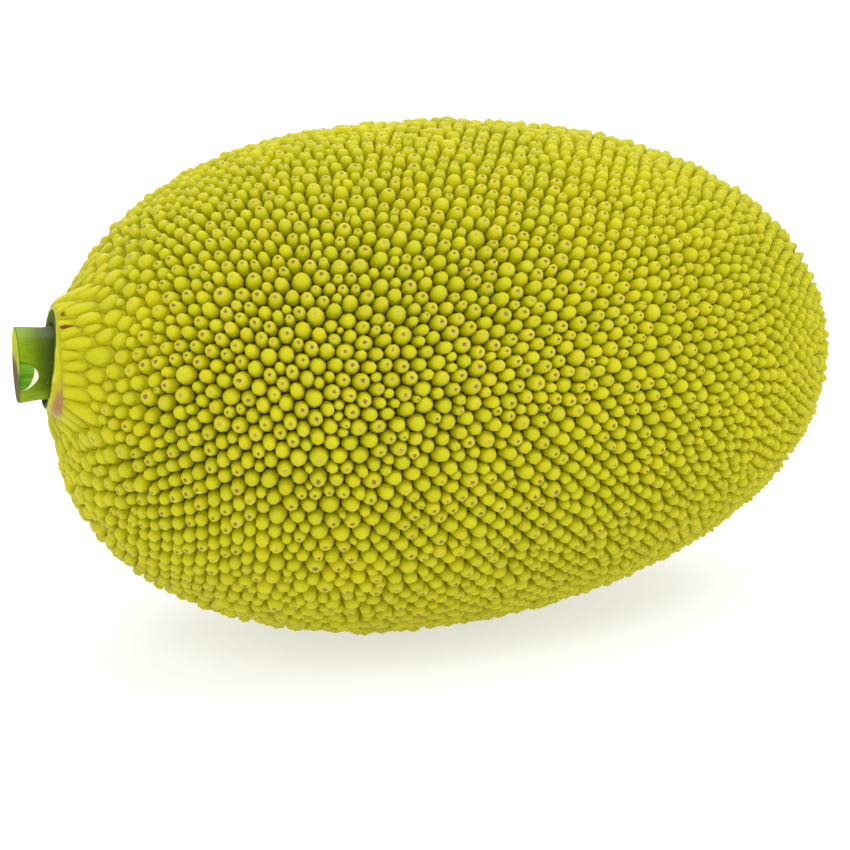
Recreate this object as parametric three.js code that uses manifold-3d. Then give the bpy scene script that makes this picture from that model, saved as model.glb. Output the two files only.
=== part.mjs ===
// A whole jackfruit lying on its side, as picked, with the cut stub of its stalk.
// Millimetres, +Z up. The fruit's long axis runs along X, and the stalk is at the -X end.
// The origin is on the resting surface, under the middle of the whole object's box.

import * as THREE from 'three';
import { mergeVertices } from 'three/addons/utils/BufferGeometryUtils.js';
import Module from 'manifold-3d';

const wasm = await Module();
wasm.setup();

// ---- driving dimensions --------------------------------------------------------------------

// The body is measured over the tips of its tubercles, from its thickest section.
const bodyRadius = 126.5;
const stalkEndLength = 186;
const farEndLength = 221;
const stalkEndFullness = 2.32; // exponent of the end's outline: 2 is an ellipse, more is blunter
const farEndFullness = 2.14;
const stalkEndLean = 0.03; // how far the blunt stalk end leans back, for each unit of height
const swelling = 0.009; // share of the radius by which the flesh swells and sinks
const roundSwells = { sides: 2, drift: 2.4, start: 0, share: 1 }; // two swellings round the fruit
const cornerSwells = { sides: 3, drift: -3.1, start: 1.1, share: 0.7 }; // and three smaller ones
const restingCut = 0.8; // height lost where the fruit's weight presses it flat
const bodyDetail = 13;

const stalkRise = 23.6; // the stalk grows this far above the body's axis
const stalkTurn = 9; // degrees that it points away from -X, towards +Y
const stalkRadius = 18.3; // at the cut end
const stalkFoot = 0.96; // its foot and its waist as shares of that
const stalkWaist = 0.92;
const stalkFlute = 0.35; // depth of the shallow ribs along the stalk
const stalkRibs = 7;
const stalkOut = 18.2; // from the end of the body to the cut, along the stalk
const cutRounding = 1.2;
const cutSlices = 14;
const sliverTurn = 4; // degrees below -Y where the knife also shaved a thin sliver off the side
const sliverLength = 9.2;
const sliverDepth = 2.2;

// The smooth ring of rind round the stalk is the flat top of a flank that slopes to the body.
const collarHeight = 3.2;
const collarLean = 9; // degrees that the ring tips back, with its lower side further out
const collarShift = -3; // the flank's middle lies on the -Y side of the stalk
const flankRadius = 35;
const flankDepth = 8;
const flankTop = 10; // the ring cuts the flank below this height
const skirtRadius = 40; // below the flank a steeper skirt runs into the body
const skirtDepth = 22;
const socketRadius = 18.4;
const socketDepth = 3; // the stalk sits this far inside the end of the body
const seatGap = 0.3;
const roundSides = 48;

// ---- materials -----------------------------------------------------------------------------

const rindFinish = new THREE.MeshStandardMaterial({
  color: 0xb6b114,
  roughness: 0.5,
  metalness: 0,
});
const stalkFinish = new THREE.MeshStandardMaterial({
  color: 0x6d8a16,
  roughness: 0.45,
  metalness: 0,
});

// ---- solids --------------------------------------------------------------------------------

// A closed geometry as a solid that can be joined and cut.
function solidFrom(geometry) {
  const bare = geometry.clone();
  bare.deleteAttribute('normal');
  bare.deleteAttribute('uv');
  const merged = mergeVertices(bare, 1e-3);
  return new wasm.Manifold(
    new wasm.Mesh({
      numProp: 3,
      vertProperties: new Float32Array(merged.getAttribute('position').array),
      triVerts: new Uint32Array(merged.index.array),
    }),
  );
}

function geometryFrom(solid) {
  const mesh = solid.getMesh();
  const geometry = new THREE.BufferGeometry();
  geometry.setAttribute('position', new THREE.BufferAttribute(mesh.vertProperties, 3));
  geometry.setIndex(new THREE.BufferAttribute(mesh.triVerts, 1));
  geometry.computeVertexNormals();
  return geometry;
}

// A box that lies wholly on the outer side of a plane, for slicing by subtraction.
function sliceBeyond(point, outward) {
  const reach = 300;
  const turn = new THREE.Quaternion().setFromUnitVectors(
    new THREE.Vector3(0, 0, 1),
    outward.clone().normalize(),
  );
  const middle = outward.clone().normalize().multiplyScalar(reach).add(point);
  return solidFrom(
    new THREE.BoxGeometry(2 * reach, 2 * reach, 2 * reach)
      .applyQuaternion(turn)
      .translate(middle.x, middle.y, middle.z),
  );
}

// ---- the fruit -----------------------------------------------------------------------------

// Where a direction from the middle of the thickest section meets the skin.
function skinPoint(direction) {
  const along = direction.x;
  const across = Math.hypot(direction.y, direction.z);
  const atStalkEnd = along < 0;
  const length = atStalkEnd ? stalkEndLength : farEndLength;
  const bluntness = 2 / (atStalkEnd ? stalkEndFullness : farEndFullness);
  const turn = Math.atan2(direction.z, direction.y);
  let swell = 0;
  for (const { sides, drift, start, share } of [roundSwells, cornerSwells]) {
    swell += share * Math.sin(sides * turn + drift * along + start);
  }
  const radius = bodyRadius * (1 + swelling * across * swell) * Math.pow(across, bluntness);
  const y = radius * Math.cos(turn);
  const z = radius * Math.sin(turn);
  const lean = atStalkEnd ? stalkEndLean * along * along * z : 0;
  const x = Math.sign(along) * length * Math.pow(Math.abs(along), bluntness) + lean;
  return new THREE.Vector3(x, y, z);
}

function bodySolid() {
  const ball = new THREE.IcosahedronGeometry(1, bodyDetail);
  const places = ball.getAttribute('position');
  const point = new THREE.Vector3();
  for (let i = 0; i < places.count; i++) {
    point.fromBufferAttribute(places, i).normalize();
    places.setXYZ(i, ...skinPoint(point).toArray());
  }
  return solidFrom(ball);
}

// Takes a shape made round +Y to the stalk end of the body, where its +Y runs out along the stalk
// and its +X looks towards the object's +Y.
function toStalkEnd(geometry) {
  const turn = Math.PI / 2 - THREE.MathUtils.degToRad(stalkTurn);
  return geometry.rotateZ(turn).translate(-stalkEndLength, 0, stalkRise);
}

// A cone of rind, cut off square to the stalk apart from its lean. The socket opens it afterwards.
function collarSolid() {
  const edge = new THREE.Path();
  edge.moveTo(0, -skirtDepth);
  edge.lineTo(skirtRadius, -skirtDepth);
  edge.lineTo(flankRadius, -flankDepth);
  edge.lineTo(flankRadius - flankDepth - flankTop, flankTop);
  edge.lineTo(0, flankTop);
  const cone = new THREE.LatheGeometry(edge.getPoints(), roundSides);
  cone.rotateZ(Math.PI / 2).translate(-stalkEndLength, collarShift, stalkRise);
  const turn = THREE.MathUtils.degToRad(stalkTurn);
  const lean = THREE.MathUtils.degToRad(collarLean);
  const outward = new THREE.Vector3(-Math.cos(turn), Math.sin(turn), Math.sin(lean));
  const middle = new THREE.Vector3(-stalkEndLength, 0, stalkRise);
  middle.addScaledVector(outward, collarHeight);
  return solidFrom(cone).subtract(sliceBeyond(middle, outward));
}

function socketSolid() {
  const height = socketDepth + flankTop;
  const bore = new THREE.CylinderGeometry(socketRadius, socketRadius, height, roundSides);
  return solidFrom(toStalkEnd(bore.translate(0, height / 2 - socketDepth, 0)));
}

function fruitGeometry() {
  const lowest = new THREE.Vector3(0, 0, restingCut - bodyRadius);
  return geometryFrom(
    bodySolid()
      .add(collarSolid())
      .subtract(socketSolid())
      .subtract(sliceBeyond(lowest, new THREE.Vector3(0, 0, -1))),
  );
}

// ---- the stalk -----------------------------------------------------------------------------

// A slightly ribbed stub round +Y that widens away from the fruit.
function stubSolid() {
  const base = seatGap - socketDepth;
  const footRadius = stalkRadius * stalkFoot;
  const waistRadius = stalkRadius * stalkWaist;
  const edge = new THREE.Path();
  edge.moveTo(0, base);
  edge.lineTo(footRadius, base);
  edge.quadraticCurveTo(waistRadius, stalkOut / 2, stalkRadius, stalkOut);
  edge.lineTo(0, stalkOut);
  const stub = new THREE.LatheGeometry(edge.getPoints(8), roundSides);
  const places = stub.getAttribute('position');
  for (let i = 0; i < places.count; i++) {
    const [x, y, z] = [places.getX(i), places.getY(i), places.getZ(i)];
    const rib = stalkFlute * Math.cos(stalkRibs * Math.atan2(z, x));
    const grown = 1 + rib / stalkRadius;
    places.setXYZ(i, x * grown, y, z * grown);
  }
  return solidFrom(stub);
}

// The stub with its cut edge rounded by short slices, and the sliver shaved off one side.
function stalkGeometry() {
  let stub = stubSolid();
  const axis = new THREE.Vector3(0, 1, 0);
  for (let i = 0; i < cutSlices; i++) {
    const turn = (2 * Math.PI * i) / cutSlices;
    const radial = new THREE.Vector3(Math.cos(turn), 0, Math.sin(turn));
    const corner = radial.clone().multiplyScalar(stalkRadius - cutRounding);
    corner.addScaledVector(axis, stalkOut);
    stub = stub.subtract(sliceBeyond(corner, radial.add(axis)));
  }
  const drop = THREE.MathUtils.degToRad(sliverTurn);
  const side = new THREE.Vector3(-Math.cos(drop), 0, -Math.sin(drop));
  const sliverEnd = side.clone().multiplyScalar(stalkRadius);
  sliverEnd.addScaledVector(axis, stalkOut - sliverLength);
  const sliverOutward = side.multiplyScalar(sliverLength).addScaledVector(axis, sliverDepth);
  return toStalkEnd(geometryFrom(stub.subtract(sliceBeyond(sliverEnd, sliverOutward))));
}

// ---- the object ----------------------------------------------------------------------------

const jackfruit = new THREE.Group();
const fruit = new THREE.Mesh(fruitGeometry(), rindFinish);
fruit.name = 'fruit';
jackfruit.add(fruit);
const stalk = new THREE.Mesh(stalkGeometry(), stalkFinish);
stalk.name = 'stalk';
jackfruit.add(stalk);

const whole = new THREE.Box3().setFromObject(jackfruit);
const middle = whole.getCenter(new THREE.Vector3());
jackfruit.position.set(-middle.x, -middle.y, -whole.min.z);

export default jackfruit;
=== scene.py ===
import math
import random
from bisect import bisect_left

import bmesh
import bpy
from mathutils import Matrix, Vector, noise
from mathutils.bvhtree import BVHTree


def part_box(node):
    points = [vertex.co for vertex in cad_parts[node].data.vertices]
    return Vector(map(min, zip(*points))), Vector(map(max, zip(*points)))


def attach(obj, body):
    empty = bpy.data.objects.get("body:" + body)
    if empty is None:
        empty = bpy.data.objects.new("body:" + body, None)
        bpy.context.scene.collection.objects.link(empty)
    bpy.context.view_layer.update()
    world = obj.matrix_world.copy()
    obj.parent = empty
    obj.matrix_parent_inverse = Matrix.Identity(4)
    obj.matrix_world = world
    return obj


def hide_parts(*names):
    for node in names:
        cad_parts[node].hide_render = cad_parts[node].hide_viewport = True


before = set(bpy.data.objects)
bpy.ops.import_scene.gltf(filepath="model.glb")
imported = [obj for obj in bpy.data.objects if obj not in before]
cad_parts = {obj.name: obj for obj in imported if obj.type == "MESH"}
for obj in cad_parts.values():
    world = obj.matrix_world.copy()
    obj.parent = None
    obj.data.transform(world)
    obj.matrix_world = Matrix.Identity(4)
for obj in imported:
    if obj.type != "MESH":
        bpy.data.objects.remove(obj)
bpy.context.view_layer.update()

fruitLow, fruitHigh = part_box("fruit")
stalkLow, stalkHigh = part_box("stalk")
fruitMiddle = (fruitLow + fruitHigh) / 2
thickestAt = 0.4675            # share of the fruit's length from the stalk end to its thickest section
fruitMiddle.x = fruitLow.x + thickestAt * (fruitHigh.x - fruitLow.x)
stalkMiddle = (stalkLow + stalkHigh) / 2
stalkTurn = math.radians(9)    # the stalk points this far off the fruit's line, away from the near side
stalkOut = Vector((-math.cos(stalkTurn), math.sin(stalkTurn), 0))
stalkNear = Vector((-math.sin(stalkTurn), -math.cos(stalkTurn), 0))
stalkLength = 0.0209           # from the foot in its seat to the cut
stalkFoot = stalkMiddle - stalkOut * stalkLength / 2


# the camera comes first, then the floor and the lights

view = {
    "azimuth": -22,            # degrees from the near side, turned towards the stalk
    "elevation": 16.7,
    "distance": 1.5,
    "lens": 127,
    "aimRight": 0.0042,        # how far beside and below the fruit's middle it is aimed
    "aimDown": 0.027,
}


def placeCamera():
    swing = math.radians(view["azimuth"])
    rise = math.radians(view["elevation"])
    back = Vector((math.sin(swing) * math.cos(rise), -math.cos(swing) * math.cos(rise), math.sin(rise)))
    turned = back.to_track_quat("Z", "Y")
    right = turned @ Vector((1, 0, 0))
    up = turned @ Vector((0, 1, 0))
    aim = fruitMiddle + right * view["aimRight"] - up * view["aimDown"]
    eye = bpy.data.objects.new("camera", bpy.data.cameras.new("camera"))
    eye.data.lens = view["lens"]
    eye.location = aim + back * view["distance"]
    eye.rotation_euler = turned.to_euler()
    bpy.context.scene.collection.objects.link(eye)
    bpy.context.scene.camera = eye


studio = {
    "sky": 1.0,
    "floorColour": "#b6b6b6",
    "floorGlow": 0.6,
    "floorReach": 14,
    "softboxes": [
        # where it hangs, how wide, how strong
        ((-0.9, -1.1, 1.5), 0.9, 6),
        ((0.9, -0.7, 1.7), 0.9, 10),
        ((0.1, 1.2, 1.6), 1.2, 10),
    ],
}


class Signal:
    # A socket that adds, multiplies and so on like a number, each time through its own Math node
    def __init__(self, tree, socket=None):
        self.tree = tree
        self.socket = socket

    def node(self, kind, settings=None, inputs=None, output=0):
        made = self.tree.nodes.new(kind)
        for name, value in (settings or {}).items():
            setattr(made, name, value)
        for name, value in (inputs or {}).items():
            if isinstance(value, Signal):
                self.tree.links.new(value.socket, made.inputs[name])
            else:
                made.inputs[name].default_value = value
        return Signal(self.tree, made.outputs[output] if made.outputs else None)

    def maths(self, operation, first, second):
        return self.node("ShaderNodeMath", {"operation": operation}, {0: first, 1: second})

    def __add__(self, other):
        return self.maths("ADD", self, other)

    def __radd__(self, other):
        return self.maths("ADD", other, self)

    def __sub__(self, other):
        return self.maths("SUBTRACT", self, other)

    def __rsub__(self, other):
        return self.maths("SUBTRACT", other, self)

    def __mul__(self, other):
        return self.maths("MULTIPLY", self, other)

    def __rmul__(self, other):
        return self.maths("MULTIPLY", other, self)

    def between(self, low, high):
        # 0 below low, 1 above high, and smooth between them
        return self.node(
            "ShaderNodeMapRange",
            {"interpolation_type": "SMOOTHSTEP"},
            {"Value": self, "From Min": low, "From Max": high},
        )

    def part(self, axis):
        return self.node("ShaderNodeSeparateXYZ", {}, {"Vector": self}, output=axis)

    def scaled(self, shares):
        return self.node("ShaderNodeVectorMath", {"operation": "MULTIPLY"}, {0: self, 1: shares})

    def length(self):
        return self.node("ShaderNodeVectorMath", {"operation": "LENGTH"}, {0: self}, output="Value")

    def tints(self, first, second):
        # the first colour where this is 0, the second where it is 1
        return self.node("ShaderNodeMix", {"data_type": "RGBA"}, {0: self, 6: first, 7: second}, output=2)


def paint(code):
    # A hex colour as the linear values that shaders work in
    shares = [int(code[i:i + 2], 16) / 255 for i in (1, 3, 5)]
    return [s / 12.92 if s < 0.04045 else ((s + 0.055) / 1.055) ** 2.4 for s in shares] + [1]


def newMaterial(name):
    material = bpy.data.materials.new(name)
    material.use_nodes = True
    material.node_tree.nodes.clear()
    return material, Signal(material.node_tree)


def useShader(start, inputs):
    shader = start.node("ShaderNodeBsdfPrincipled", {}, inputs)
    start.node("ShaderNodeOutputMaterial", {}, {"Surface": shader})


def grain(start, where, size, detail=2, seed=0):
    # Noise whose lumps are about size metres across
    return start.node(
        "ShaderNodeTexNoise",
        {"noise_dimensions": "4D"},
        {"Vector": where, "W": seed, "Scale": 0.5 / size, "Detail": detail, "Roughness": 0.55},
    )


def addPiece(shape, name, materials):
    mesh = bpy.data.meshes.new(name)
    shape.to_mesh(mesh)
    shape.free()
    for material in materials:
        mesh.materials.append(material)
    piece = bpy.data.objects.new(name, mesh)
    bpy.context.scene.collection.objects.link(piece)
    return piece


def buildStudio():
    scene = bpy.context.scene
    scene.view_settings.view_transform = "Standard"
    scene.world = bpy.data.worlds.new("sky")
    scene.world.use_nodes = True
    scene.world.node_tree.nodes["Background"].inputs["Color"].default_value = (1, 1, 1, 1)
    scene.world.node_tree.nodes["Background"].inputs["Strength"].default_value = studio["sky"]
    for number, (place, width, power) in enumerate(studio["softboxes"]):
        lamp = bpy.data.lights.new(f"softbox{number}", "AREA")
        lamp.shape = "DISK"
        lamp.size = width
        lamp.energy = power
        holder = bpy.data.objects.new(f"softbox{number}", lamp)
        holder.location = place
        holder.rotation_euler = (Vector(place) - fruitMiddle).to_track_quat("Z", "Y").to_euler()
        scene.collection.objects.link(holder)
    ground = bmesh.new()
    bmesh.ops.create_grid(ground, x_segments=8, y_segments=8, size=studio["floorReach"])
    material, start = newMaterial("studioFloor")
    useShader(start, {
        "Base Color": paint(studio["floorColour"]),
        "Roughness": 0.9,
        "Emission Color": (1, 1, 1, 1),
        "Emission Strength": studio["floorGlow"],
    })
    floor = addPiece(ground, "studioFloor", [material])


placeCamera()
buildStudio()
print("camera and studio are set")


# the rind: one closed skin of tubercles, with the smooth collar round the stalk

rind = {
    "seed": 11,
    "cellArea": 49.5e-6,       # skin that one tubercle covers, in square metres
    "jitter": 0.14,            # share of the spacing that each one strays, either way
    "evenings": 6,             # how often the spacing is evened out, and how strongly each time
    "evenedBy": 0.4,
    "height": 0.0078,
    "heightVaries": 0.16,
    "roundness": 0.9,
    # each ring's share of the cell's width, of its height, and of its place on the bake map
    "shoulder": (0.93, 0.55, 0.72),
    "crown": (0.58, 0.90, 0.42),
    "crownVaries": 0.06,
    "pointed": 0.22,           # how much narrower the crowns are at the far end
    "lowerFar": 0.12,          # and how much lower the tubercles are there
    "tilt": 0.10,              # share of the height by which a tip may lean over
    "besideCollar": 0.80,      # spacing beside the collar, as a share of the usual
    "closerFar": 0.17,         # how much closer they stand at the far end
    "stretch": 0.85,           # extra length of the tubercles beside the collar
    "stretchReach": 0.070,
    "lowReach": 0.036,         # within this distance of the collar they are low
    "lowHeight": 0.0032,
    "collarBlend": 0.006,      # and within this one they rise out of the collar
    # beside the collar the painted valley shade is fainter
    "shallow": 0.3,            # the valleys there are coloured as if they rose this far
    "evenTint": 0.5,           # the tint of what belongs to no single tubercle
    "faintest": 0.3,           # how strong a brown spot is at the least
    "spotted": 0.45,           # share of the tips with a brown spot
    "spottedTop": 0.45,        # and how much more that is on top and at the far end
    "spottedFar": 0.30,
    "green": "#abaa0c",
    "ripe": "#c5be12",
    # a painted highlight for the upper part of each dome
    "domeHighlight": "#cfcb1e",
    # painted shade for the valleys between the tubercles
    "valleyShade": "#5c5003",
    "paleTip": "#cdb66a",
    "brownSpot": "#6e4226",
    "fleck": "#8a8c10",
}

# what has marred the rind beside the stalk
blemishes = [
    # degrees over the top from the near side, distance from the stalk's axis, degrees to either side,
    # half the width, how much further out it runs for each radian of turn, colour
    (-38, 0.0258, 38, 0.0022, 0.0024, "#a4784c"),
    (65, 0.0303, 4.5, 0.0012, 0, "#74380c"),
    (51, 0.0287, 3.0, 0.0010, 0, "#7c4614"),
    (-76, 0.0202, 4.5, 0.0011, 0, "#141000"),
]

# where the pieces of the skin lie on the bake map
bakeMap = {
    "left": 0.01,
    "width": 0.93,
    "collar": 0.07,            # the collar fills the map up to here and the tubercles the rest
    "height": 0.92,
    "floor": (0.97, 0.03),
    "floorRadius": 0.01,
}

collar = {
    "foot": 0.0272,            # distance from the stalk's axis where the tubercles begin
    "sunk": 0.0003,            # how far its edge lies under the CAD's skin
    # distance from the axis and depth under the CAD's skin, from the outside in
    "rings": [
        (0.0264, 0.0001),
        (0.0254, 0.0000),
        (0.0242, 0.0000),
        (0.0228, 0.0000),
        (0.0213, 0.0000),
        (0.0200, 0.0002),
        (0.0191, 0.0008),
        (0.0186, 0.0020),
    ],
    "floor": (0.0181, 0.0000),
    "lip": 5,                  # the rings after this one turn down into the seat
    # the collar takes the tubercles' colour at this height share, painted dome highlight included
    "colouredAs": 0.9,         # it has the colour that the tubercles have this high up
    # this mask carries the painted shade on the ring's top and in the seat, and the painted highlight at
    # its edge
    "facing": (0.80, 0.96),    # the ring's top begins between these cosines to the stalk's line
    "stain": "#8f8410",
    # a painted highlight for the ring's edge
    "rimHighlight": "#cfd05c",
    # painted shade for the ring's top and the seat
    "ringTopShade": "#3a4c02",
}

golden = math.pi * (3 - math.sqrt(5))   # the golden angle


def mergedCopy(name):
    # A node's loose triangles, joined into one closed shape
    shape = bmesh.new()
    shape.from_mesh(bpy.data.objects[name].data)
    bmesh.ops.remove_doubles(shape, verts=shape.verts, dist=1e-6)
    return shape


envelope = BVHTree.FromBMesh(mergedCopy("fruit"))

# The tubercles are laid out round a line from the stalk through the fruit's middle
growthLine = (fruitMiddle - Vector((fruitLow.x, stalkMiddle.y, stalkMiddle.z))).normalized()
nearSide = growthLine.cross(Vector((0, 0, 1))).normalized()
upSide = nearSide.cross(growthLine)


def rayAt(lean, turn):
    # lean runs from 0 at the stalk to pi at the far end; turn goes from the near side over the top
    outward = nearSide * math.cos(turn) + upSide * math.sin(turn)
    return outward * math.sin(lean) - growthLine * math.cos(lean)


def offStalk(place):
    return (place - stalkMiddle).cross(stalkOut).length


def roundStalk(place):
    # The angle round the stalk's axis, from the near side over the top
    return math.atan2(place.z - stalkMiddle.z, (place - stalkMiddle).dot(stalkNear))


def skinAt(lean, turn):
    return envelope.ray_cast(fruitMiddle, rayAt(lean, turn))[0]


def seatAt(angle, radius, depth=0):
    # The CAD's skin at the stalk end, seen along the stalk, or a point below it
    beside = (stalkNear * math.cos(angle) + Vector((0, 0, math.sin(angle)))) * radius
    clear = stalkMiddle + beside + stalkOut * 0.1   # a place outside the fruit
    return envelope.ray_cast(clear, -stalkOut)[0] - stalkOut * depth


def smooth(value, low, high):
    share = min(max((value - low) / (high - low), 0), 1)
    return share * share * (3 - 2 * share)


def stretchAt(fromStalk):
    beyond = fromStalk - collar["foot"]
    return 1 + rind["stretch"] * (1 - smooth(beyond, 0, rind["stretchReach"]))


def packingAt(fromStalk, forward):
    # How closely the tubercles stand, as a share of the usual spacing
    beside = smooth(fromStalk - collar["foot"], 0, rind["stretchReach"])
    far = smooth(forward, 0, fruitHigh.x - fruitMiddle.x)
    return (rind["besideCollar"] + (1 - rind["besideCollar"]) * beside) * (1 - rind["closerFar"] * far)


def measureSkin(stations=300, spokes=16):
    # Distance from the stalk, area and evenly scaled height, all summed along the outline
    table = {"lean": [], "arc": [], "area": [], "rise": []}
    arc = area = rise = 0
    last = None
    for station in range(stations):
        lean = math.pi * (station + 0.5) / stations
        forward = outward = 0
        for spoke in range(spokes):
            place = skinAt(lean, 2 * math.pi * spoke / spokes) - fruitMiddle
            along = place.dot(growthLine)
            forward += along / spokes
            outward += (place - growthLine * along).length / spokes
        if last:
            step = math.hypot(forward - last[0], outward - last[1])
            arc += step
            packed = step / stretchAt(arc)
            area += math.pi * (outward + last[1]) * packed / packingAt(arc, forward) ** 2
            rise += 2 * packed / (outward + last[1])
        last = (forward, outward)
        table["lean"].append(lean)
        table["arc"].append(arc)
        table["area"].append(area)
        table["rise"].append(rise)
    halfway = rise / 2
    table["rise"] = [value - halfway for value in table["rise"]]
    return table


skin = measureSkin()


def lookUp(value, known, wanted):
    # Reads one column of the skin's table against another
    at = min(max(bisect_left(skin[known], value), 1), len(skin[known]) - 1)
    low, high = skin[known][at - 1], skin[known][at]
    share = min(max((value - low) / (high - low), 0), 1)
    return skin[wanted][at - 1] * (1 - share) + skin[wanted][at] * share


def towards(rise, turn):
    # The point on a unit ball that stands for a place on the skin, with shapes kept true
    level = math.tanh(rise)
    ring = math.sqrt(1 - level * level)
    return Vector((ring * math.cos(turn), ring * math.sin(turn), level))


def spreadAt(rise):
    # The skin's distance from the growth line, taken as 2 mm at the line's very ends
    place = skinAt(lookUp(rise, "rise", "lean"), 0) - fruitMiddle
    return max((place - growthLine * place.dot(growthLine)).length, 0.002)


def plantCells():
    # Seeds spread evenly by area on the ball, the net between them, and the cells round them
    random.seed(rind["seed"])
    shape = bmesh.new()
    count = round(skin["area"][-1] / rind["cellArea"])
    for i in range(count):
        rise = lookUp(skin["area"][-1] * (i + 0.5) / count, "area", "rise")
        seed = towards(rise, golden * i)
        ring = math.sqrt(1 - math.tanh(rise) ** 2)
        outward = spreadAt(rise)
        spacing = math.sqrt(rind["cellArea"]) * ring / outward
        stray = Vector([random.uniform(-1, 1) for axis in range(3)]) * rind["jitter"] * spacing
        shape.verts.new((seed + stray).normalized())
    bmesh.ops.convex_hull(shape, input=shape.verts)
    for evening in range(rind["evenings"]):
        bmesh.ops.beautify_fill(shape, faces=shape.faces, edges=shape.edges, method="ANGLE")
        bmesh.ops.smooth_vert(
            shape, verts=shape.verts, factor=rind["evenedBy"],
            use_axis_x=True, use_axis_y=True, use_axis_z=True,
        )
        for vert in shape.verts:
            vert.co.normalize()
    bmesh.ops.beautify_fill(shape, faces=shape.faces, edges=shape.edges, method="ANGLE")
    seeds = list(shape.verts)
    net = list(shape.edges)
    bmesh.ops.poke(shape, faces=shape.faces)
    bmesh.ops.rotate_edges(shape, edges=net)
    bmesh.ops.dissolve_verts(shape, verts=seeds)
    return shape


def acrossMap(turn):
    return bakeMap["left"] + bakeMap["width"] * (turn + math.pi) / (2 * math.pi)


def dressSkin(shape):
    # Moves the cells from the ball to the skin and gives them their place on the bake map
    marks = shape.loops.layers.uv.new("OFBake")
    onBall = {vert: vert.co.normalized() for vert in shape.verts}
    spread = {}
    for vert, ball in onBall.items():
        rise = math.atanh(min(max(ball.z, -0.999999), 0.999999))   # kept finite at the poles
        turn = math.atan2(ball.y, ball.x)
        lean = lookUp(rise, "rise", "lean")
        spread[vert] = (turn, lookUp(rise, "rise", "arc"))
        vert.co = skinAt(lean, turn)
    bmesh.ops.reverse_faces(shape, faces=shape.faces)
    whole = skin["arc"][-1]
    for face in shape.faces:
        turns = [spread[loop.vert][0] for loop in face.loops]
        crossing = max(turns) - min(turns) > math.pi
        for loop in face.loops:
            turn, arc = spread[loop.vert]
            if crossing and turn < 0:
                turn += 2 * math.pi
            loop[marks].uv = (acrossMap(turn), bakeMap["collar"] + bakeMap["height"] * arc / whole)


def openSeat(shape):
    # Takes out the cells under the collar and rounds the edge of the hole
    middles = {face: face.calc_center_median() for face in shape.faces}
    inside = [
        face for face, middle in middles.items()
        if middle.x < fruitMiddle.x and offStalk(middle) < collar["foot"]
    ]
    bmesh.ops.delete(shape, geom=inside, context="FACES")
    rim = [edge for edge in shape.edges if edge.is_boundary]
    for vert in {vert for edge in rim for vert in edge.verts}:
        vert.co = seatAt(roundStalk(vert.co), collar["foot"])


def reliefAt(place):
    # How fully tubercles are grown here, from 0 beside the collar to 1, and how high they stand
    beyond = offStalk(place) - collar["foot"] if place.x < fruitMiddle.x else 1
    full = smooth(beyond, 0, rind["lowReach"])
    height = rind["lowHeight"] + (rind["height"] - rind["lowHeight"]) * full
    height *= 1 - rind["lowerFar"] * smooth(place.x, fruitMiddle.x, fruitHigh.x)
    return full, collar["sunk"] + (height - collar["sunk"]) * smooth(beyond, 0, rind["collarBlend"])


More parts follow.
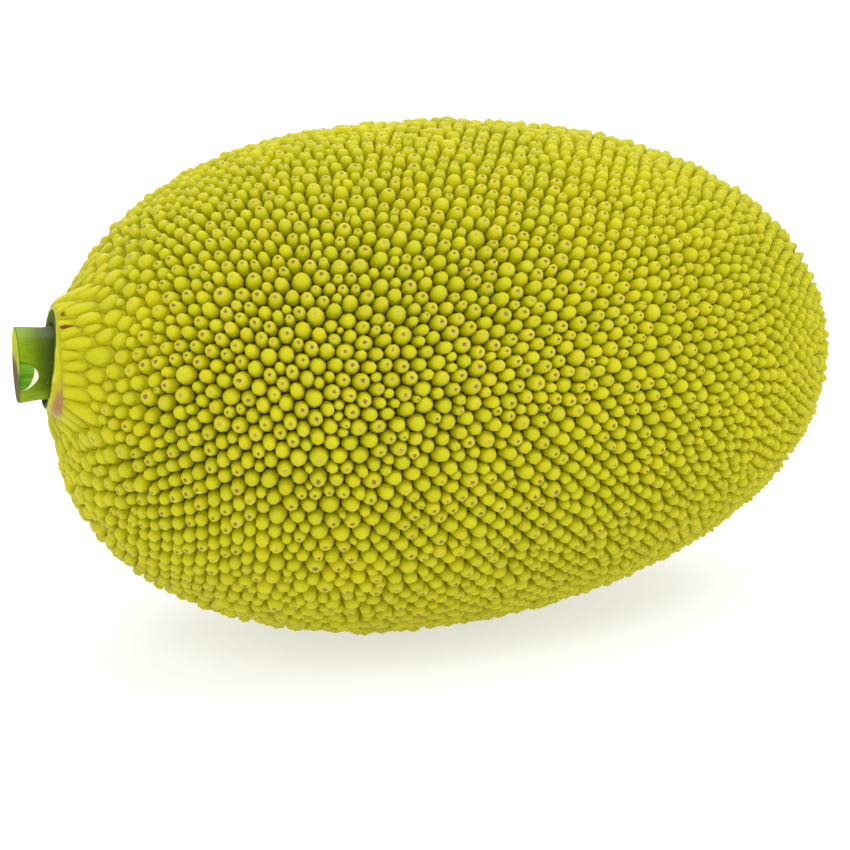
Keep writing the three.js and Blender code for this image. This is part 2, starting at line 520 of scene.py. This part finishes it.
def raiseTubercles(shape):
    marks = shape.loops.layers.uv["OFBake"]
    rise = shape.verts.layers.float.new("rise")
    tip = shape.verts.layers.float.new("tip")
    tint = shape.verts.layers.float.new("tint")
    spot = shape.verts.layers.float.new("spot")
    cells = list(shape.faces)

    relief = {vert: reliefAt(vert.co) for vert in shape.verts}
    shape.normal_update()
    for vert, (full, height) in relief.items():
        vert.co -= vert.normal * height
        # valleys beside the collar take less of the painted valley shade
        vert[rise] = rind["shallow"] * (1 - full)
        vert[tint] = rind["evenTint"]
    shape.normal_update()
    fulls = [sum(relief[vert][0] for vert in face.verts) / len(face.verts) for face in cells]
    heights = [sum(relief[vert][1] for vert in face.verts) / len(face.verts) for face in cells]

    outlines = [[(loop.vert.co.copy(), loop[marks].uv.copy()) for loop in face.loops] for face in cells]
    ups = [face.normal.copy() for face in cells]
    rings = []
    for level in range(2):
        # the inset only adds the ring, which is put in its place below
        bmesh.ops.inset_individual(shape, faces=cells, thickness=0.0002, use_interpolate=True)
        rings.append([[loop.vert for loop in face.loops] for face in cells])
    tops = bmesh.ops.poke(shape, faces=cells)["verts"]

    for cell, outline in enumerate(outlines):
        middle = sum((place for place, mark in outline), Vector()) / len(outline)
        middleMark = sum((mark for place, mark in outline), Vector((0, 0))) / len(outline)
        sides = [
            ((place + nextPlace) / 2, (mark + nextMark) / 2)
            for (place, mark), (nextPlace, nextMark) in zip(outline, outline[1:] + outline[:1])
        ]
        farShare = smooth(middle.x, fruitMiddle.x, fruitHigh.x)
        shade = random.random()
        worn = rind["spotted"] + rind["spottedFar"] * farShare
        worn += rind["spottedTop"] * smooth(middle.z, fruitMiddle.z, fruitHigh.z)
        marked = random.uniform(rind["faintest"], 1) * fulls[cell] if random.random() < worn else 0
        height = heights[cell] * (1 - rind["heightVaries"] * random.random() ** 2)
        lean = Vector([random.uniform(-1, 1) for axis in range(3)]) * rind["tilt"] * height
        crown = rind["crown"][0] - rind["pointed"] * farShare
        crown += random.uniform(-rind["crownVaries"], rind["crownVaries"])
        rounded = rind["roundness"] * fulls[cell]
        # the shoulder's points face the cell's sides and the crown's its corners, so the dome looks round
        steps = [(sides, *rind["shoulder"]), (outline, crown, *rind["crown"][1:])]
        for ring, (points, share, lift, inMark) in zip(rings, steps):
            mean = sum((place - middle).length for place, mark in points) / len(points)
            for vert, (place, mark) in zip(ring[cell], points):
                offset = place - middle
                span = mean * rounded + offset.length * (1 - rounded)
                vert.co = middle + offset.normalized() * span * share + (ups[cell] * height + lean) * lift
                vert[rise] = lift
                vert[tint] = shade
                vert[spot] = marked
                for loop in vert.link_loops:
                    loop[marks].uv = middleMark.lerp(mark, inMark)
        top = tops[cell]
        top.co = middle + ups[cell] * height + lean
        top[rise] = 1
        top[tip] = 1
        top[tint] = shade
        top[spot] = marked
        for loop in top.link_loops:
            loop[marks].uv = middleMark
    for vert in shape.verts:
        vert.co.z = max(vert.co.z, 0)   # the fruit's weight presses the tips flat
    for edge in shape.edges:
        edge.smooth = any(vert[rise] > 0 for vert in edge.verts)   # the deep valleys stay creased


def growCollar(shape):
    # Draws the rind up round the stalk, ring by ring, and down into the seat
    marks = shape.loops.layers.uv["OFBake"]
    smoothed = shape.verts.layers.float.new("smoothed")
    ringTop = shape.verts.layers.float.new("ringTop")
    rise = shape.verts.layers.float["rise"]
    tint = shape.verts.layers.float["tint"]
    steps = collar["rings"] + [collar["floor"]]
    edges = [edge for edge in shape.edges if edge.is_boundary]
    levels = {vert: 0 for edge in edges for vert in edge.verts}
    turns = {vert: roundStalk(vert.co) for vert in levels}
    made = []
    for number, (radius, depth) in enumerate(steps, 1):
        grown = bmesh.ops.extrude_edge_only(shape, edges=edges)["geom"]
        edges = [item for item in grown if isinstance(item, bmesh.types.BMEdge) and item.is_boundary]
        made += [item for item in grown if isinstance(item, bmesh.types.BMFace)]
        for vert in {vert for edge in edges for vert in edge.verts}:
            turns[vert] = roundStalk(vert.co)
            levels[vert] = number
            vert.co = seatAt(turns[vert], radius, depth)
            vert[rise] = collar["colouredAs"]
            vert[tint] = rind["evenTint"]
    shape.normal_update()
    for vert, number in levels.items():
        vert[smoothed] = min(number / 2, 1)
        # the seat and the ring's top are marked for painted shade
        if number > collar["lip"]:
            vert[ringTop] = 1
        elif number > 1:
            vert[ringTop] = smooth(vert.normal.dot(stalkOut), *collar["facing"])
    for face in made:
        around = [turns[loop.vert] for loop in face.loops]
        crossing = max(around) - min(around) > math.pi
        for loop in face.loops:
            turn = turns[loop.vert]
            if crossing and turn < 0:
                turn += 2 * math.pi
            sunkShare = levels[loop.vert] / (len(steps) + 1)
            loop[marks].uv = (acrossMap(turn), bakeMap["collar"] * (1 - sunkShare))
    bottom = bmesh.ops.edgeloop_fill(shape, edges=edges)["faces"]
    for face in bottom:
        for loop in face.loops:
            angle = turns[loop.vert]
            beside = Vector((math.cos(angle), math.sin(angle))) * bakeMap["floorRadius"]
            loop[marks].uv = Vector(bakeMap["floor"]) + beside


def alongStalk(start):
    # Object coordinates laid along the stalk: from its foot X runs into the fruit, Y away from the near
    # side and Z up
    where = start.node("ShaderNodeTexCoord", output="Object")
    return start.node("ShaderNodeMapping", {"vector_type": "TEXTURE"}, {
        "Vector": where,
        "Location": stalkFoot,
        "Rotation": (0, 0, -stalkTurn),
    })


def blemish(start, body, ragged):
    # Paints the marks beside the stalk over the body's colour
    where = alongStalk(start)
    radius = where.scaled((0, 1, 1)).length()
    turn = start.maths("ARCTAN2", where.part("Z"), where.part("Y") * -1)
    beside = 1 - where.part("X").between(0.04, 0.05)   # the rest of the fruit stays clean
    for middle, distance, reach, width, growth, colour in blemishes:
        aside = turn - math.radians(middle)
        onward = aside * (1 / math.radians(reach))
        outward = (radius - distance - aside * growth) * (1 / width)
        away = onward * onward + outward * outward + ragged * 2.0
        body = ((1 - away.between(1.5, 2.8)) * beside).tints(body, paint(colour))
    return body


def rindSkin():
    material, start = newMaterial("rindSkin")
    where = start.node("ShaderNodeTexCoord", output="Object")
    rise, tip, tint, spot, smoothed, ringTop = (
        start.node("ShaderNodeAttribute", {"attribute_name": name}, output="Fac")
        for name in ("rise", "tip", "tint", "spot", "smoothed", "ringTop")
    )
    patches = grain(start, where, 0.045, 3, 1)
    mottle = grain(start, where, 0.006, 2, 2)
    speckle = grain(start, where, 0.0008, 2, 3)

    # greener or riper by patches and by the single tubercle, lighter towards the dome tops with a painted
    # highlight, and darkened in the valleys with painted shade
    ripe = (patches * 0.9 + tint * 0.45 + mottle * 0.3 - 0.35).between(0.15, 0.85)
    body = ripe.tints(paint(rind["green"]), paint(rind["ripe"]))
    # a painted highlight lightens the upper part of each dome
    body = (rise.between(0.55, 1.0) * 0.5).tints(body, paint(rind["domeHighlight"]))
    # painted shade darkens the valleys between the tubercles
    body = rise.between(0.0, 0.42).tints(paint(rind["valleyShade"]), body)

    # the pale tips with their brown spots, then the flecks
    halo = (tip + mottle * 0.6 - 0.3).between(0.20, 0.62) * spot
    body = (halo * 0.6).tints(body, paint(rind["paleTip"]))
    dot = (tip + speckle * 0.7 - 0.35).between(0.46, 0.76) * spot.between(0.30, 0.85)
    body = (dot * 0.8).tints(body, paint(rind["brownSpot"]))
    body = (speckle.between(0.35, 0.7) * 0.12).tints(body, paint(rind["fleck"]))

    # the collar: stained in places, with a painted highlight as a pale edge round the ring's top, which is
    # darkened with painted shade
    body = (smoothed * mottle.between(0.42, 0.62) * 0.35).tints(body, paint(collar["stain"]))
    # a painted highlight gives the ring's edge a pale band
    body = (ringTop.between(0.05, 0.35) * 0.6).tints(body, paint(collar["rimHighlight"]))
    # painted shade darkens the ring's top and the seat round the stalk
    body = (ringTop.between(0.35, 0.85) * 0.92).tints(body, paint(collar["ringTopShade"]))
    body = blemish(start, body, mottle + speckle * 0.5)
    bump = start.node("ShaderNodeBump", {}, {"Strength": 0.25, "Distance": 0.0004, "Height": speckle})
    useShader(start, {
        "Base Color": body,
        "Roughness": 0.32 + mottle * 0.2 + ringTop * 0.5,
        "Specular IOR Level": 0.12,
        "Normal": bump,
    })
    return material


def buildRind():
    shape = plantCells()
    dressSkin(shape)
    openSeat(shape)
    raiseTubercles(shape)
    growCollar(shape)
    bmesh.ops.delete(shape, geom=[vert for vert in shape.verts if not vert.link_faces], context="VERTS")
    for face in shape.faces:
        face.smooth = True
    bmesh.ops.triangulate(shape, faces=shape.faces)
    piece = addPiece(shape, "rind", [rindSkin()])
    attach(piece, "root")
    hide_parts("fruit")
    print(f"rind: {len(piece.data.polygons)} triangles")


buildRind()


# the stalk's stub: ribbed skin, the knife's cut and the sliver shaved off the near side

stub = {
    "footRadius": 0.0176,
    "waistRadius": 0.0171,
    "endRadius": 0.0183,
    "waistAt": 0.4,            # share of the length from the foot to the waist
    "ribs": 7,
    "ribDepth": 0.00035,
    "lumpDepth": 0.0004,
    "lumpsAlong": 90,          # how closely the lumps follow each other, along and round the stub
    "lumpsAround": 1.4,
    "around": 192,
    "stations": 40,
    "sliverTurn": 5,           # degrees below the near side where a sliver is shaved off
    "sliverLength": 0.0090,
    "sliverDepth": 0.0020,
    # the part of the sliver that is clear of sap: its length as a share of the sliver's, and its
    # half height and how far it lies above the middle as shares of half the sliver's height
    "clearLength": 0.80,
    "clearHeight": 1.25,
    "clearRise": 0.45,
    "rimBevel": 0.0007,
    "cutRim": 0.0016,          # a band this wide runs round the cut, and inside it the cut is sunk
    "cutSunk": 0.0004,
    # painted shade for the stalk towards its foot
    "footShadeGreen": "#465800",
    "endGreen": "#7c9a06",
    # painted light for the stalk's underside
    "underLitGreen": "#93ac12",
    "streak": "#476c00",
    "freckle": "#a4ac48",
    # painted shade for the foot in the seat
    "seatShade": "#2c3a00",
    "shavedDark": "#2f7a08",
    "shavedLight": "#6c9a20",
    "sap": "#f4eecb",
    "knifeEdge": "#5a5218",
    "cutMiddle": "#a3a42c",
    "cutOutside": "#b4ba1c",
    "fibre": "#c8c28a",
    "driedSap": "#4a2e2a",
}


def stubRadius(out, angle):
    # out is the distance from the foot
    share = out / stalkLength
    radius = stub["footRadius"]
    radius += (stub["waistRadius"] - stub["footRadius"]) * smooth(share, 0, stub["waistAt"])
    radius += (stub["endRadius"] - stub["waistRadius"]) * smooth(share, stub["waistAt"], 1)
    radius += stub["ribDepth"] * math.cos(stub["ribs"] * angle)
    around = (math.cos(angle) * stub["lumpsAround"], math.sin(angle) * stub["lumpsAround"])
    return radius + stub["lumpDepth"] * noise.noise(Vector((out * stub["lumpsAlong"], *around)))


def sliverRadius(out, angle):
    # The knife's path beside the axis: it goes in steeply and then runs level to the cut end
    middle = -math.radians(stub["sliverTurn"])
    aside = angle - middle
    if abs(aside) > 1:
        return 2 * stub["endRadius"]   # the knife misses the stub here
    share = 1 - (stalkLength - out) / stub["sliverLength"]
    return (stubRadius(out, middle) - stub["sliverDepth"] * share * (2 - share)) / math.cos(aside)


def shapeStub():
    # Drawn upright from its foot, with X towards the near side, and laid along the stalk's axis at the end
    shape = bmesh.new()
    bmesh.ops.create_circle(shape, cap_ends=True, radius=1, segments=stub["around"])
    edges = list(shape.edges)
    for station in range(stub["stations"]):
        grown = bmesh.ops.extrude_edge_only(shape, edges=edges)["geom"]
        edges = [item for item in grown if isinstance(item, bmesh.types.BMEdge) and item.is_boundary]
        for vert in {vert for edge in edges for vert in edge.verts}:
            vert.co.z = stalkLength * (station + 1) / stub["stations"]
    bmesh.ops.edgeloop_fill(shape, edges=edges, mat_nr=1)
    shaved = shape.verts.layers.float.new("shaved")
    for vert in shape.verts:
        angle = math.atan2(vert.co.y, vert.co.x)
        skinRadius = stubRadius(vert.co.z, angle)
        knifeRadius = sliverRadius(vert.co.z, angle)
        vert.co.x = min(skinRadius, knifeRadius) * math.cos(angle)
        vert.co.y = min(skinRadius, knifeRadius) * math.sin(angle)
        vert[shaved] = (skinRadius - knifeRadius) * 1000   # how deep the knife went, in millimetres
    bmesh.ops.recalc_face_normals(shape, faces=shape.faces)

    rims = [edge for edge in shape.edges if len({face.material_index for face in edge.link_faces}) == 2]
    bmesh.ops.bevel(
        shape, geom=rims, offset=stub["rimBevel"], segments=2, profile=0.5, affect="EDGES", material=-1
    )
    for face in shape.faces:
        face.smooth = face.material_index == 0
    cut = [face for face in shape.faces if face.material_index == 1 and len(face.verts) >= stub["around"]]
    bmesh.ops.inset_region(shape, faces=cut, thickness=stub["cutRim"], depth=-stub["cutSunk"])
    bmesh.ops.triangulate(shape, faces=shape.faces)
    lay = Matrix((stalkNear, (0, 0, 1), stalkOut)).transposed().to_4x4()
    lay.translation = stalkFoot
    bmesh.ops.transform(shape, matrix=lay, verts=shape.verts)
    return shape


def stalkSkin():
    material, start = newMaterial("stalkSkin")
    where = alongStalk(start)
    along = where.part("X") * -1
    height = where.part("Z")
    streaks = grain(start, where.scaled((0.18, 1, 1)), 0.0011, 3, 4)
    clouds = grain(start, where, 0.008, 3, 5)
    freckles = grain(start, where, 0.0007, 2, 6)
    # painted shade darkens the stalk towards its foot, and it grows lighter towards the cut
    outOfFootShade = (along + clouds * 0.008 - 0.004).between(0.005, 0.020)
    green = outOfFootShade.tints(paint(stub["footShadeGreen"]), paint(stub["endGreen"]))
    # painted light from below makes the stalk's underside lighter
    below = 1 - (height + clouds * 0.004).between(-0.013, -0.003)
    green = below.tints(green, paint(stub["underLitGreen"]))
    green = (streaks.between(0.42, 0.68) * 0.35).tints(green, paint(stub["streak"]))
    green = (freckles.between(0.62, 0.74) * 0.3).tints(green, paint(stub["freckle"]))
    # painted shade darkens the stalk's foot in the seat
    green = ((1 - along.between(0.003, 0.008)) * 0.7).tints(green, paint(stub["seatShade"]))

    # the shaved patch: green flesh, with a crescent of dried white sap along its lower inner edge
    halfHeight = math.sqrt(2 * stub["endRadius"] * stub["sliverDepth"])
    drop = stub["endRadius"] * math.sin(math.radians(stub["sliverTurn"]))
    inward = (stalkLength - along) * (1 / (stub["clearLength"] * stub["sliverLength"]))
    upward = height + (drop - stub["clearRise"] * halfHeight)
    upward = upward * (1 / (stub["clearHeight"] * halfHeight))
    sap = (inward * inward + upward * upward + clouds * 0.3).between(1.05, 1.22)
    flesh = streaks.between(0.3, 0.7).tints(paint(stub["shavedDark"]), paint(stub["shavedLight"]))
    flesh = sap.tints(flesh, paint(stub["sap"]))
    shaved = start.node("ShaderNodeAttribute", {"attribute_name": "shaved"}, output="Fac")
    green = (shaved.between(-0.25, -0.05) * 0.6).tints(green, paint(stub["knifeEdge"]))
    green = shaved.between(-0.04, 0.06).tints(green, flesh)
    bump = start.node(
        "ShaderNodeBump", {}, {"Strength": 0.35, "Distance": 0.0004, "Height": streaks + freckles * 0.4}
    )
    useShader(start, {
        "Base Color": green,
        "Roughness": 0.35 + clouds * 0.2,
        "Specular IOR Level": 0.10,
        "Normal": bump,
    })
    return material


def cutFace():
    # The knife's cut: pale fibres in yellow-green flesh, browned where sap has run down and dried
    material, start = newMaterial("cutFace")
    where = alongStalk(start)
    across = where.scaled((0, 1, 1))
    radius = across.length()
    height = where.part("Z")
    fibres = start.node(
        "ShaderNodeTexVoronoi", {"feature": "F1"}, {"Vector": across, "Scale": 900}, output="Distance"
    )
    clouds = grain(start, where, 0.004, 3, 7)
    outside = (radius + clouds * 0.004).between(0.006, 0.0165)
    flesh = outside.tints(paint(stub["cutMiddle"]), paint(stub["cutOutside"]))
    flesh = ((1 - fibres.between(0.15, 0.5)) * 0.35).tints(flesh, paint(stub["fibre"]))
    dried = 1 - (height + clouds * 0.014 + fibres * 0.004 - 0.008).between(-0.002, 0.004)
    flesh = (dried * 0.85).tints(flesh, paint(stub["driedSap"]))
    bump = start.node(
        "ShaderNodeBump", {}, {"Strength": 0.4, "Distance": 0.0005, "Height": fibres + clouds}
    )
    useShader(start, {
        "Base Color": flesh,
        "Roughness": 0.6 + clouds * 0.2,
        "Specular IOR Level": 0.06,
        "Normal": bump,
    })
    return material


def buildStub():
    piece = addPiece(shapeStub(), "stalkStub", [stalkSkin(), cutFace()])
    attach(piece, "root")
    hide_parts("stalk")
    print(f"stalk: {len(piece.data.polygons)} triangles")


buildStub()
